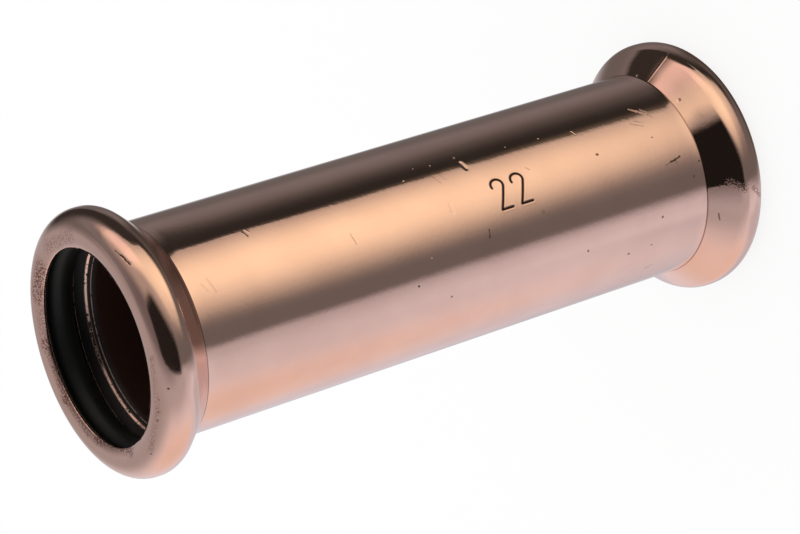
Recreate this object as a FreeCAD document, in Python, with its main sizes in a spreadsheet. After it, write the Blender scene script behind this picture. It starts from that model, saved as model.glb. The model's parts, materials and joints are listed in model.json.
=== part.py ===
import FreeCAD
import Part
import Sketcher
import math
import os

# Copper slip coupling for 22 mm pipe, with pressed ends.
# One length of copper tube, open right through with no stop inside, so that it slides
# all the way along a pipe. Each end is rolled outwards into a bead and curled in again
# to a lip. The hollow inside the bead is a chamber that holds a rubber sealing ring.
# The coupling stands on its lower bead: Z is the tube's axis, and Z = 0 is the floor.

SIZES = [
    # name, millimetres or degrees, what it sets
    ("pipe_diameter", 22.0, "outside diameter of the pipe that slides in"),
    ("pipe_clearance", 0.15, "room between pipe and bore, on the radius"),
    ("tube_wall", 1.1, "wall of the straight tube"),
    ("overall_length", 84.0, "from one bead's front to the other's"),
    ("mouth_clearance", 0.225, "room between pipe and curled lip, on the radius"),
    ("seal_section", 3.1, "thickness of the rubber ring's round section"),
    ("seal_grip", 0.05, "how far the ring reaches inside the pipe's surface"),
    ("seal_gap", 0.05, "free gap between the ring and the flank it lies against"),
    ("chamber_depth_room", 0.3, "room behind the ring's back, on the radius"),
    ("chamber_front_room", 0.07, "how much wider than the ring the chamber's round front is"),
    ("bead_wall", 0.95, "wall of the bead, thinner than the tube because it was stretched"),
    ("crown_land", 0.4, "straight stretch along the bead's crown"),
    ("shoulder_round", 1.15, "inside radius where the crown turns into the back flank"),
    ("flank_angle", 42.5, "slope of the bead's back flank against the tube's axis"),
    ("crease_round", 0.25, "small outside radius where the flank meets the tube"),
    ("bore_corner_round", 1.2, "inside radius where the flank runs out into the bore"),
]

doc = FreeCAD.newDocument("slip_coupling")


def fill_sheet():
    """The sheet of sizes: name, value and meaning, one size to a row."""
    sheet = doc.addObject("Spreadsheet::Sheet", "Sizes")
    for row, (name, value, meaning) in enumerate(SIZES, start=1):
        sheet.set(f"A{row}", name)
        sheet.set(f"B{row}", str(value))
        sheet.set(f"C{row}", meaning)
        sheet.setAlias(f"B{row}", name)
    doc.recompute()
    return sheet


sizes = fill_sheet()

# Sizes that follow from the ones above, each written once as an expression.
BORE_RADIUS = "Sizes.pipe_diameter / 2 + Sizes.pipe_clearance"
BODY_RADIUS = f"{BORE_RADIUS} + Sizes.tube_wall"
LIP_RADIUS = "Sizes.pipe_diameter / 2 + Sizes.mouth_clearance"
SEAL_RADIUS = "Sizes.seal_section / 2"
SEAL_CENTRE = f"Sizes.pipe_diameter / 2 - Sizes.seal_grip + {SEAL_RADIUS}"
CHAMBER_RADIUS = f"{SEAL_CENTRE} + {SEAL_RADIUS} + Sizes.chamber_depth_room"
BEAD_RADIUS = f"{CHAMBER_RADIUS} + Sizes.bead_wall"
FRONT_INSIDE = f"{SEAL_RADIUS} + Sizes.chamber_front_room"
FRONT_OUTSIDE = f"{FRONT_INSIDE} + Sizes.bead_wall"
SHOULDER_OUTSIDE = "Sizes.shoulder_round + Sizes.bead_wall"

# The ring's middle lies in from the face so far that its section just clears the flank.
# Across the flank, the shoulder's centre is one shoulder radius away from it.
SEAL_HEIGHT = (
    f"{FRONT_OUTSIDE} + Sizes.crown_land"
    f" + (({CHAMBER_RADIUS} - Sizes.shoulder_round - ({SEAL_CENTRE})) * cos(Sizes.flank_angle * 1 deg)"
    f" + Sizes.shoulder_round - {SEAL_RADIUS} - Sizes.seal_gap) / sin(Sizes.flank_angle * 1 deg)"
)


def value_of(expression):
    """The number that an expression of sheet sizes gives now."""
    answer = sizes.evalExpression(expression)
    return float(getattr(answer, "Value", answer))


def point(x, y):
    return FreeCAD.Vector(x, y, 0)


def polar(centre, radius, degrees):
    angle = math.radians(degrees)
    return point(centre.x + radius * math.cos(angle), centre.y + radius * math.sin(angle))


def origin_plane(body, role):
    return [feature for feature in body.Origin.OriginFeatures if feature.Role == role][0]


def new_body(name):
    body = doc.addObject("PartDesign::Body", name)
    body.Label = name
    return body


def upright_sketch(body, name):
    """A sketch on the plane through the axis: across is radius, up is height."""
    sketch = body.newObject("Sketcher::SketchObject", name)
    sketch.AttachmentSupport = [(origin_plane(body, "XZ_Plane"), "")]
    sketch.MapMode = "FlatFace"
    return sketch


def revolve(body, sketch, name):
    """A full turn of the sketch about the tube's axis."""
    doc.recompute()
    turned = body.newObject("PartDesign::Revolution", name)
    turned.Profile = sketch
    turned.ReferenceAxis = (sketch, ["V_Axis"])
    turned.Angle = 360.0
    sketch.Visibility = False
    doc.recompute()
    return turned


# Names for the ends of a sketch line or arc.
START = 1
END = 2
CENTRE = 3
AXES_ORIGIN = (-1, 1)


class WallOutline:
    """Lines and arcs of the tube wall's section, and the constraints that hold them.

    The outline goes once round the wall of the lower half: from the lip round the bead's
    front, crown, shoulder and flank to the tube, up to mid length, and back down inside.
    """

    def __init__(self, sketch):
        self.sketch = sketch

    def line(self, start, end):
        return self.sketch.addGeometry(Part.LineSegment(start, end), False)

    def arc(self, centre, radius, first, last):
        circle = Part.Circle(centre, FreeCAD.Vector(0, 0, 1), radius)
        turn = Part.ArcOfCircle(circle, math.radians(first), math.radians(last))
        return self.sketch.addGeometry(turn, False)

    def tie(self, kind, *where):
        return self.sketch.addConstraint(Sketcher.Constraint(kind, *where))

    def size(self, name, expression, kind, *where):
        """A dimension with a name, bound to the sheet."""
        number = self.tie(kind, *where, self.start_value(kind, expression))
        self.sketch.renameConstraint(number, name)
        self.sketch.setExpression(f"Constraints.{name}", expression)

    def start_value(self, kind, expression):
        start = value_of(expression)
        return math.radians(start) if kind == "Angle" else start


def draw_wall(sketch):
    outline = WallOutline(sketch)
    flank = value_of("Sizes.flank_angle")
    land = value_of("Sizes.crown_land")
    crease = value_of("Sizes.crease_round")
    corner = value_of("Sizes.bore_corner_round")
    shoulder_in = value_of("Sizes.shoulder_round")
    bore = value_of(BORE_RADIUS)
    body = value_of(BODY_RADIUS)
    lip = value_of(LIP_RADIUS)
    chamber = value_of(CHAMBER_RADIUS)
    bead = value_of(BEAD_RADIUS)
    front_in = value_of(FRONT_INSIDE)
    front_out = value_of(FRONT_OUTSIDE)
    shoulder_out = value_of(SHOULDER_OUTSIDE)
    half_length = value_of("Sizes.overall_length / 2")

    # The lip ends where the front's outer arc has come in to the lip's radius.
    front_centre = point(bead - front_out, front_out)
    lip_direction = -90 - math.degrees(math.asin((front_centre.x - lip) / front_out))
    shoulder_centre = point(bead - shoulder_out, front_out + land)

    def run_out(radius_here, tube_radius, round_radius):
        """Where the flank, and then the tube, touch the arc that joins them."""
        flank_start = polar(shoulder_centre, radius_here, flank)
        touch_x = tube_radius + round_radius * (1 - math.cos(math.radians(flank)))
        along = (flank_start.x - touch_x) / math.sin(math.radians(flank))
        touch_y = flank_start.y + along * math.cos(math.radians(flank))
        centre = point(tube_radius + round_radius, touch_y + round_radius * math.sin(math.radians(flank)))
        return flank_start, point(touch_x, touch_y), centre

    flank_out_start, flank_out_end, crease_centre = run_out(shoulder_out, body, crease)
    flank_in_end, flank_in_start, corner_centre = run_out(shoulder_in, bore, corner)

    front_outer = outline.arc(front_centre, front_out, lip_direction, 0)
    crown_outer = outline.line(point(bead, front_out), point(bead, front_out + land))
    shoulder_outer = outline.arc(shoulder_centre, shoulder_out, 0, flank)
    flank_outer = outline.line(flank_out_start, flank_out_end)
    crease_outer = outline.arc(crease_centre, crease, 180, 180 + flank)
    tube_outer = outline.line(point(body, crease_centre.y), point(body, half_length))
    mid_length = outline.line(point(body, half_length), point(bore, half_length))
    tube_inner = outline.line(point(bore, half_length), point(bore, corner_centre.y))
    corner_inner = outline.arc(corner_centre, corner, 180, 180 + flank)
    flank_inner = outline.line(flank_in_start, flank_in_end)
    shoulder_inner = outline.arc(shoulder_centre, shoulder_in, 0, flank)
    crown_inner = outline.line(point(chamber, front_out + land), point(chamber, front_out))
    front_inner = outline.arc(front_centre, front_in, lip_direction, 0)
    cut_end = outline.line(
        polar(front_centre, front_in, lip_direction), polar(front_centre, front_out, lip_direction)
    )

    # Smooth joins, in the order of the outline.
    outline.tie("Tangent", front_outer, END, crown_outer, START)
    outline.tie("Tangent", crown_outer, END, shoulder_outer, START)
    outline.tie("Tangent", shoulder_outer, END, flank_outer, START)
    outline.tie("Tangent", flank_outer, END, crease_outer, END)
    outline.tie("Tangent", crease_outer, START, tube_outer, START)
    outline.tie("Tangent", tube_inner, END, corner_inner, START)
    outline.tie("Tangent", corner_inner, END, flank_inner, START)
    outline.tie("Tangent", flank_inner, END, shoulder_inner, END)
    outline.tie("Tangent", shoulder_inner, START, crown_inner, START)
    outline.tie("Tangent", crown_inner, END, front_inner, END)

    # Sharp joins: the square-cut lip and the middle of the tube.
    outline.tie("Coincident", front_inner, START, cut_end, START)
    outline.tie("Coincident", cut_end, END, front_outer, START)
    outline.tie("PointOnObject", front_outer, CENTRE, cut_end)
    outline.tie("Coincident", tube_outer, END, mid_length, START)
    outline.tie("Coincident", mid_length, END, tube_inner, START)

    # The bead's wall is the same all round, so its arcs share their centres.
    outline.tie("Coincident", front_inner, CENTRE, front_outer, CENTRE)
    outline.tie("Coincident", shoulder_inner, CENTRE, shoulder_outer, CENTRE)
    outline.tie("Vertical", crown_outer)
    outline.tie("Vertical", tube_outer)
    outline.tie("Vertical", tube_inner)
    outline.tie("Horizontal", mid_length)

    outline.size("bore", BORE_RADIUS, "DistanceX", *AXES_ORIGIN, tube_inner, START)
    outline.size("tube_outside", BODY_RADIUS, "DistanceX", *AXES_ORIGIN, tube_outer, END)
    outline.size("lip", LIP_RADIUS, "DistanceX", *AXES_ORIGIN, front_outer, START)
    outline.size("crown", BEAD_RADIUS, "DistanceX", *AXES_ORIGIN, crown_outer, START)
    outline.size("front_height", FRONT_OUTSIDE, "DistanceY", *AXES_ORIGIN, front_outer, CENTRE)
    outline.size("half_length", "Sizes.overall_length / 2", "DistanceY", *AXES_ORIGIN, tube_outer, END)
    outline.size("land", "Sizes.crown_land", "DistanceY", crown_outer, START, crown_outer, END)
    outline.size("front_outside", FRONT_OUTSIDE, "Radius", front_outer)
    outline.size("front_inside", FRONT_INSIDE, "Radius", front_inner)
    outline.size("shoulder_outside", SHOULDER_OUTSIDE, "Radius", shoulder_outer)
    outline.size("shoulder_inside", "Sizes.shoulder_round", "Radius", shoulder_inner)
    outline.size("crease", "Sizes.crease_round", "Radius", crease_outer)
    outline.size("bore_corner", "Sizes.bore_corner_round", "Radius", corner_inner)
    outline.size("flank", "Sizes.flank_angle", "Angle", crown_outer, START, flank_outer, START)
    outline.tie("Parallel", flank_outer, flank_inner)


def make_coupling_body():
    """The copper tube: half of it with one bead, turned, then mirrored at mid length."""
    body = new_body("coupling_body")
    sketch = upright_sketch(body, "wall_section")
    draw_wall(sketch)
    half = revolve(body, sketch, "lower_half")

    middle = body.newObject("PartDesign::Plane", "mid_length")
    middle.AttachmentSupport = [(origin_plane(body, "XY_Plane"), "")]
    middle.MapMode = "FlatFace"
    middle.setExpression("AttachmentOffset.Base.z", "Sizes.overall_length / 2")
    doc.recompute()

    whole = body.newObject("PartDesign::Mirrored", "both_halves")
    whole.Originals = [half]
    whole.MirrorPlane = (middle, [""])
    whole.Refine = True
    body.Tip = whole
    doc.recompute()
    return body


def make_seal_ring(name, height):
    """A rubber ring of round section that lies in a bead's chamber, its middle at height."""
    body = new_body(name)
    sketch = upright_sketch(body, f"{name}_section")
    start = point(value_of(SEAL_CENTRE), value_of(height))
    section = Part.Circle(start, FreeCAD.Vector(0, 0, 1), value_of(SEAL_RADIUS))
    outline = WallOutline(sketch)
    ring = sketch.addGeometry(section, False)
    outline.size("section", SEAL_RADIUS, "Radius", ring)
    outline.size("across", SEAL_CENTRE, "DistanceX", *AXES_ORIGIN, ring, CENTRE)
    outline.size("height", height, "DistanceY", *AXES_ORIGIN, ring, CENTRE)
    revolve(body, sketch, f"{name}_turned")
    return body


def check_document(pieces):
    """Stop at any object that failed, and at any piece that isn't one sound solid."""
    doc.recompute()
    for item in doc.Objects:
        if "Invalid" in item.State or "Error" in item.State:
            raise RuntimeError(f"{item.Label} failed: {item.State}")
        if item.TypeId == "Sketcher::SketchObject" and not item.FullyConstrained:
            raise RuntimeError(f"{item.Label} isn't fully constrained")
    for piece in pieces:
        shape = piece.Shape
        if shape.isNull() or not shape.isValid() or len(shape.Solids) != 1:
            raise RuntimeError(f"{piece.Label} isn't one valid solid")


pieces = [
    make_coupling_body(),
    make_seal_ring("lower_seal_ring", SEAL_HEIGHT),
    make_seal_ring("upper_seal_ring", f"Sizes.overall_length - ({SEAL_HEIGHT})"),
]
check_document(pieces)

os.makedirs("parts", exist_ok=True)
for piece in pieces:
    piece.Shape.exportStep(f"parts/{piece.Label}.step")
    box = piece.Shape.BoundBox
    print(
        f"{piece.Label}: {piece.Shape.Volume:.1f} mm3,"
        f" {box.XLength:.2f} x {box.YLength:.2f} x {box.ZLength:.2f} mm,"
        f" from Z {box.ZMin:.3f} to {box.ZMax:.3f}"
    )
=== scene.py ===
# %% [markdown]
# # A copper slip coupling
#
# A slip coupling joins two lengths of 22 mm copper pipe. It is one short length of copper tube.
# Both ends are rolled outwards into a bead, and each bead hides a black rubber ring that seals the
# pipe when the bead is pressed. There is no stop inside, so the whole coupling can slide along a
# pipe.
#
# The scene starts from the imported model. Its solids give the true sizes, and this script gives the
# looks: a finer surface for each piece, small marks of use, and materials that react to light as
# copper and rubber do.

# %% Load the fixed frame
import json
import math

import bpy
import numpy as np
from mathutils import Matrix, Vector


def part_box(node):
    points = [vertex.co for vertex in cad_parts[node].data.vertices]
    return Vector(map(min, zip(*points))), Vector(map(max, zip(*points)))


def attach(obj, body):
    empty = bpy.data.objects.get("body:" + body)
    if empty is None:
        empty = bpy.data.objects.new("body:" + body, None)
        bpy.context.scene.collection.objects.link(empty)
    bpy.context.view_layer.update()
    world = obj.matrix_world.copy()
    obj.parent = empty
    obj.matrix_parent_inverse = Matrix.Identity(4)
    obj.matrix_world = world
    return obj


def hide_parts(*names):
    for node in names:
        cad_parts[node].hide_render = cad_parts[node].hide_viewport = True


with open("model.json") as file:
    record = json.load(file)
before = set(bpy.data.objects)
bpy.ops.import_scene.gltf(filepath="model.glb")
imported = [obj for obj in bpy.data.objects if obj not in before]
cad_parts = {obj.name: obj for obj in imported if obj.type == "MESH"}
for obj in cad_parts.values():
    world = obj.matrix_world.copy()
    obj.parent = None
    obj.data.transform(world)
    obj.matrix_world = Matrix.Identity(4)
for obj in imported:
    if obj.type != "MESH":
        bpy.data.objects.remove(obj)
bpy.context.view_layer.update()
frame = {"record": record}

MM = 0.001

# %% [markdown]
# ## Sizes
#
# The length and the bead's radius are read from the frame, and the bore's radius from the mount
# that the record states. The rest are the sizes of the rolled wall, in millimetres, measured from
# the end face (`depth`) and from the axis (`radius`). Named once, each size keeps all that depends
# on it in step.

# %% Sizes of the wall
body_low, body_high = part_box("coupling_body")
bore_mount = frame["record"]["mounts"][0]

LENGTH = (body_high.z - body_low.z) / MM
BEAD_RADIUS = body_high.x / MM
BORE_RADIUS = bore_mount["dims"]["r_mm"]
TUBE_WALL = 1.1
TUBE_RADIUS = BORE_RADIUS + TUBE_WALL
LIP_RADIUS = 11.225
BEAD_WALL = 0.95
CROWN_LAND = 0.4
FRONT_ROUND = 2.57
SHOULDER_ROUND = 2.1
FLANK_ANGLE = math.radians(42.5)
CREASE_ROUND = 0.25
BORE_CORNER_ROUND = 1.2
LIP_EDGE_ROUND = 0.16
print(f"length {LENGTH:.1f}, bead radius {BEAD_RADIUS:.2f}, tube radius {TUBE_RADIUS:.2f} mm")

# %% [markdown]
# ## Camera
#
# The photograph looks into one mouth from the side, about 31 degrees above the horizon, with the
# camera rolled so that the tube lies across the picture. The coupling stands on its end here, so
# the roll is kept in the camera and not in the object. The lens is long, about 137 mm on a 36 mm
# sensor, and so the tube hardly tapers.

# %% Camera at the photograph's viewing angle
SENSOR_WIDTH = 36.0
LENS = 137.14
CAMERA_PLACE = Vector((0.0, -299.4, 225.6))
LOOK_DOWN = math.radians(31.28)
LOOK_ASIDE = math.radians(0.33)
ROLL = math.radians(-107.86)
NEAREST_SEEN = 0.01

camera_data = bpy.data.cameras.new("camera")
camera_data.lens = LENS
camera_data.sensor_width = SENSOR_WIDTH
camera_data.clip_start = NEAREST_SEEN
camera = bpy.data.objects.new("camera", camera_data)
camera.matrix_world = (
    Matrix.Translation(CAMERA_PLACE * MM)
    @ Matrix.Rotation(LOOK_ASIDE, 4, "Z")
    @ Matrix.Rotation(math.pi / 2 - LOOK_DOWN, 4, "X")
    @ Matrix.Rotation(ROLL, 4, "Z")
)
bpy.context.scene.collection.objects.link(camera)
bpy.context.scene.camera = camera
view = camera.matrix_world.to_3x3() @ Vector((0, 0, -1))
print("camera looks along", [round(value, 3) for value in view])

# %% [markdown]
# ## Spacing the grid
#
# The body's surface is a grid: rows along its profile and columns around its axis. Small marks
# need small faces, but making every face small would cost millions of them. So rows and columns
# are drawn together where the marks are: `spaced` adds up how many lines each place wants and puts
# the lines at even counts of that sum.

# %% Rows and columns that gather where the detail is
SAMPLES = 4000
SOFT_SIDE = 0.35
COLUMN_STEP = 1.3
NUMERAL_ANGLE = 283.0
NUMERAL_DEPTH = 50.2
MARKED_ANGLES = [
    # middle, half width and fine step in degrees: the numerals, the gouge with the nick, the seam
    (NUMERAL_ANGLE, 10.0, 0.42),
    (302.5, 8.5, 0.6),
    (326.8, 1.6, 0.3),
]


def spaced(start, end, coarse, spots=()):
    """Positions from start to end. Each spot is (middle, half width, fine step). The wanted lines
    per unit are 1 / coarse, rising to 1 / fine within a spot with soft sides, and the positions
    cut their sum evenly."""
    place = np.linspace(start, end, SAMPLES)
    density = np.full(SAMPLES, 1.0 / coarse)
    for middle, half, fine in spots:
        outer = (1 + SOFT_SIDE) * half
        within = np.clip((outer - np.abs(place - middle)) / (SOFT_SIDE * half), 0, 1)
        density = np.maximum(density, within / fine)
    total = np.concatenate([[0], np.cumsum((density[1:] + density[:-1]) / 2 * np.diff(place))])
    wanted = np.linspace(0, total[-1], int(round(total[-1])) + 1)
    return np.interp(wanted, total, place)


columns = spaced(0.0, 360.0, COLUMN_STEP, MARKED_ANGLES)[:-1]
column_gaps = np.diff(columns)
print(f"{len(columns)} columns, {column_gaps.min():.2f} to {column_gaps.max():.2f} degrees apart")

# %% [markdown]
# ## The wall as a profile
#
# The real coupling is formed from a plain tube: the end is rolled out into the bead and curled in
# again to the lip. Every cut through the axis shows the same line, so the shape is a profile
# turned about the axis. The profile is a few true arcs with straight stretches between them.

# %% Points of the arcs
RIGHT_ANGLE = math.pi / 2
ROUND_CENTRE = BEAD_RADIUS - FRONT_ROUND
INNER_FRONT_ROUND = FRONT_ROUND - BEAD_WALL
INNER_SHOULDER_ROUND = SHOULDER_ROUND - BEAD_WALL
SHOULDER_DEPTH = FRONT_ROUND + CROWN_LAND
SHOULDER_CENTRE = BEAD_RADIUS - SHOULDER_ROUND
LIP_ANGLE = math.asin((LIP_RADIUS - ROUND_CENTRE) / FRONT_ROUND)


def arc(centre_depth, centre_radius, radius, angle):
    """Points (depth, radius) of an arc: centre plus radius times (-cos, sin) of the angle. The
    angle is 0 towards the end face and a right angle straight away from the axis."""
    depth = centre_depth - radius * np.cos(angle)
    return np.stack([depth, centre_radius + radius * np.sin(angle)], axis=1)


def corner(centre_depth, centre_radius, radius, angle):
    """Points of a hollow arc, on its centre's axis side: centre minus radius times (sin, cos)."""
    depth = centre_depth - radius * np.sin(angle)
    return np.stack([depth, centre_radius - radius * np.cos(angle)], axis=1)


def shoulder_foot(radius):
    """Where a shoulder of this radius gives way to the straight flank: (depth, radius)."""
    depth = SHOULDER_DEPTH + radius * math.sin(FLANK_ANGLE)
    return depth, SHOULDER_CENTRE + radius * math.cos(FLANK_ANGLE)


def flank_end(shoulder_round, foot_radius, foot_round):
    """Depth at which the round at the flank's foot meets the tube: the flank's line is followed
    down to the tube's wall, and the round's tangent length is added."""
    depth, radius = shoulder_foot(shoulder_round)
    slope = (radius - foot_radius) / math.tan(FLANK_ANGLE)
    return depth + slope + foot_round * math.tan(FLANK_ANGLE / 2)


CREASE_DEPTH = flank_end(SHOULDER_ROUND, TUBE_RADIUS, CREASE_ROUND)
BORE_START = flank_end(INNER_SHOULDER_ROUND, BORE_RADIUS, BORE_CORNER_ROUND)
print(f"crease at {CREASE_DEPTH:.2f} mm, bore from {BORE_START:.2f} mm")

# %% Where the points lie on the arcs
GOUGE_TURN = math.radians(50)
GOUGE_HALF = math.radians(5)
GOUGE_STEP = math.radians(1.7)
FRONT_STEP = math.radians(5.5)
LIP_EDGE_POINTS = 6
SHOULDER_POINTS = 10
CREASE_POINTS = 5
INNER_FRONT_POINTS = 14
BORE_CORNER_POINTS = 8
EDGE_ARM = FRONT_ROUND - LIP_EDGE_ROUND

edge_end = LIP_ANGLE + math.asin(LIP_EDGE_ROUND / EDGE_ARM)
edge_turns = np.linspace(LIP_ANGLE - RIGHT_ANGLE, edge_end, LIP_EDGE_POINTS)[:-1]
gouge_spot = (GOUGE_TURN, GOUGE_HALF, GOUGE_STEP)
front_turns = spaced(edge_end, RIGHT_ANGLE, FRONT_STEP, [gouge_spot])
shoulder_turns = np.linspace(RIGHT_ANGLE, RIGHT_ANGLE + FLANK_ANGLE, SHOULDER_POINTS)
inner_front_turns = np.linspace(LIP_ANGLE, RIGHT_ANGLE, INNER_FRONT_POINTS)
print(f"{len(front_turns)} points round the bead's front")

# %% The profile of one end


def halfway(before, after):
    """The point in the middle of the straight stretch between two arcs."""
    return (before[-1:] + after[:1]) / 2


def foot(depth, wall_radius, foot_round, points):
    """The hollow round from the flank to the wall of this radius, met at this depth."""
    turns = np.linspace(FLANK_ANGLE, 0, points)
    return corner(depth, wall_radius + foot_round, foot_round, turns)


def end_profile():
    """Outside and inside of one end, as two lists of (depth, radius) from lip to tube."""
    edge_depth = FRONT_ROUND - EDGE_ARM * math.cos(edge_end)
    edge_radius = ROUND_CENTRE + EDGE_ARM * math.sin(edge_end)
    lip_edge = arc(edge_depth, edge_radius, LIP_EDGE_ROUND, edge_turns)
    outer_front = arc(FRONT_ROUND, ROUND_CENTRE, FRONT_ROUND, front_turns)
    outer_shoulder = arc(SHOULDER_DEPTH, SHOULDER_CENTRE, SHOULDER_ROUND, shoulder_turns)
    outer_foot = foot(CREASE_DEPTH, TUBE_RADIUS, CREASE_ROUND, CREASE_POINTS)
    outer_flank = halfway(outer_shoulder, outer_foot)
    inner_front = arc(FRONT_ROUND, ROUND_CENTRE, INNER_FRONT_ROUND, inner_front_turns)
    inner_shoulder = arc(SHOULDER_DEPTH, SHOULDER_CENTRE, INNER_SHOULDER_ROUND, shoulder_turns[::2])
    inner_foot = foot(BORE_START, BORE_RADIUS, BORE_CORNER_ROUND, BORE_CORNER_POINTS)
    inner_flank = halfway(inner_shoulder, inner_foot)
    return (
        np.concatenate([lip_edge, outer_front, outer_shoulder, outer_flank, outer_foot]),
        np.concatenate([inner_front, inner_shoulder, inner_flank, inner_foot]),
    )


outside, inside = end_profile()
print(f"{len(outside)} points outside and {len(inside)} inside for each end")

# %% The whole profile, up the outside and down the inside
ROW_STEP = 1.15
BORE_ROWS = 9
MARKED_HEIGHTS = [
    # middle, half width and fine step in millimetres: the numerals, the nick beside them
    (LENGTH - NUMERAL_DEPTH, 2.7, 0.1),
    (LENGTH - 46.35, 0.5, 0.1),
]
tube_rows = spaced(CREASE_DEPTH, LENGTH - CREASE_DEPTH, ROW_STEP, MARKED_HEIGHTS)[1:-1]
bore_rows = np.linspace(LENGTH - BORE_START, BORE_START, BORE_ROWS)[1:-1]


def straight(radius, heights):
    """Points of a straight wall, as (radius, height)."""
    return np.stack([np.full(len(heights), radius), heights], axis=1)


def lower_end(points):
    """Points (depth, radius) as (radius, height): at the lower end height is depth."""
    return points[:, ::-1]


def upper_end(points):
    """The same at the upper end, where the height is the length less the depth."""
    return np.stack([points[:, 1], LENGTH - points[:, 0]], axis=1)


profile = np.concatenate([
    lower_end(outside), straight(TUBE_RADIUS, tube_rows), upper_end(outside[::-1]),
    upper_end(inside), straight(BORE_RADIUS, bore_rows), lower_end(inside[::-1]),
])
outside_rows = 2 * len(outside) + len(tube_rows)
row_inside = (np.arange(len(profile)) >= outside_rows).astype(float)
turn = np.radians(columns)
row_radius, row_height = profile[:, 0], profile[:, 1]
print(f"{len(profile)} rows, so {2 * len(profile) * len(columns)} triangles")

# %% Which way the surface faces


def row_normals():
    """Unit normal of each row as (away from the axis, up): the direction from the row before to
    the row after, turned by a right angle. Going up the outside it points away from the axis."""
    along = np.roll(profile, -1, axis=0) - np.roll(profile, 1, axis=0)
    square = np.stack([along[:, 1], -along[:, 0]], axis=1)
    return square / np.linalg.norm(square, axis=1, keepdims=True)


normals = row_normals()
print("normal half way up the tube:", normals[outside_rows // 2].round(2))

# %% [markdown]
# ## From the grid to a mesh
#
# All faces of a grid come from one pattern of indices, which closes both ways, so the mesh has no
# seam and no pole. Its UV map unrolls the surface: one turn is the width, and one trip round the
# profile is the height. Each piece rides on the part's only body and stands for one solid.

# %% A turned surface


def turned_points(radius, height, angle):
    """Grid of points: x = radius cos(angle), y = radius sin(angle), z = height."""
    return np.stack([radius * np.cos(angle), radius * np.sin(angle), height], axis=-1)


def closed_grid_mesh(name, points, u, v):
    """Mesh of a grid that closes both ways. Each face joins two neighbouring columns of two
    neighbouring rows, columns first, which turns its normal outwards when the rows go up the
    outside. u and v have one value more than the grid has columns and rows, so that the last faces
    reach the map's far edge."""
    rows, count = points.shape[:2]
    i, j = np.meshgrid(np.arange(rows), np.arange(count), indexing="ij")
    this_row, next_row = i * count, (i + 1) % rows * count
    next_j = (j + 1) % count
    faces = np.stack([this_row + j, this_row + next_j, next_row + next_j, next_row + j], axis=-1)
    mesh = bpy.data.meshes.new(name)
    mesh.vertices.add(rows * count)
    mesh.vertices.foreach_set("co", points.astype(np.float32).ravel())
    mesh.loops.add(faces.size)
    mesh.loops.foreach_set("vertex_index", faces.astype(np.int32).ravel())
    mesh.polygons.add(rows * count)
    mesh.polygons.foreach_set("loop_start", np.arange(0, faces.size, 4, dtype=np.int32))
    mesh.polygons.foreach_set("use_smooth", np.ones(rows * count, dtype=bool))
    corner_u = np.stack([u[j], u[j + 1], u[j + 1], u[j]], axis=-1)
    corner_v = np.stack([v[i], v[i], v[i + 1], v[i + 1]], axis=-1)
    corner_uv = np.stack([corner_u, corner_v], axis=-1)
    unrolled = mesh.uv_layers.new(name="unrolled")
    unrolled.uv.foreach_set("vector", corner_uv.astype(np.float32).ravel())
    mesh.update(calc_edges=True)
    mesh.validate()
    return mesh


def add_piece(name, mesh, replaced):
    """Object of a finished mesh, riding on the only body and standing for its CAD node."""
    piece = bpy.data.objects.new(name, mesh)
    bpy.context.scene.collection.objects.link(piece)
    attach(piece, "root")
    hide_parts(replaced)
    return piece


every_radius, every_turn = np.meshgrid(row_radius, turn, indexing="ij")
every_height = np.broadcast_to(row_height[:, None], every_radius.shape)
plain_points = turned_points(every_radius, every_height, every_turn)
print("grid of the body, rows and columns:", plain_points.shape[:2])

# %% [markdown]
# ## The stamped size
#
# The pipe size, a plain 22, is cut into the tube with a thin round-bottomed stroke. Cutting it as
# geometry catches the light at its edges as the real one does. Each numeral is a half ellipse and
# two straight strokes. The depth at a grid point depends only on its distance from the nearest
# point of a stroke, and the metal that was pushed aside makes a faint rim.

# %% Strokes of the numeral
NUMERAL_WIDTH = 1.72
NUMERAL_TALL = 3.72
NUMERAL_STEP = 2.8
BOWL_START = 195
BOWL_END = -20
BOWL_POINTS = 60
STRAIGHT_POINTS = 90
BOWL_CENTRE = (0.47, 0.79)
BOWL_HALF = (0.47, 0.2)
FOOT_START = 0.12


def two_strokes():
    """Path of a 2 as an open line: a half ellipse over the top, a slant down to the foot, the
    base. The ellipse's centre and half axes are shares of the numeral's width and height."""
    bowl_turn = np.radians(np.linspace(BOWL_START, BOWL_END, BOWL_POINTS))
    across = BOWL_CENTRE[0] + BOWL_HALF[0] * np.cos(bowl_turn)
    up = BOWL_CENTRE[1] + BOWL_HALF[1] * np.sin(bowl_turn)
    bowl = np.stack([NUMERAL_WIDTH * across, NUMERAL_TALL * up], axis=1)
    share = np.linspace(0, 1, STRAIGHT_POINTS)[:, None]
    base_start = np.array([FOOT_START * NUMERAL_WIDTH, 0.0])
    slant = bowl[-1] * (1 - share) + base_start * share
    base = base_start * (1 - share) + np.array([NUMERAL_WIDTH, 0.0]) * share
    return np.concatenate([bowl, slant, base])


def numeral_path():
    """Both numerals in millimetres on the unrolled tube: (along the turn, height). They read down
    the tube, with their tops towards the larger angle."""
    both = np.concatenate([two_strokes() + [shift, 0] for shift in (0.0, NUMERAL_STEP)])
    along = np.radians(NUMERAL_ANGLE) * TUBE_RADIUS + both[:, 1] - NUMERAL_TALL / 2
    height = LENGTH - NUMERAL_DEPTH + (NUMERAL_STEP + NUMERAL_WIDTH) / 2 - both[:, 0]
    return np.stack([along, height], axis=1)


numerals = numeral_path()
print(f"{len(numerals)} points along the strokes of numerals {NUMERAL_TALL} mm tall")

# %% The groove along the strokes
STROKE_WIDTH = 0.115
STROKE_DEPTH = 0.07
RIM_HEIGHT = 0.008
FAR_AWAY = 9.0
STROKE_MARGIN = 1.0


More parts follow.
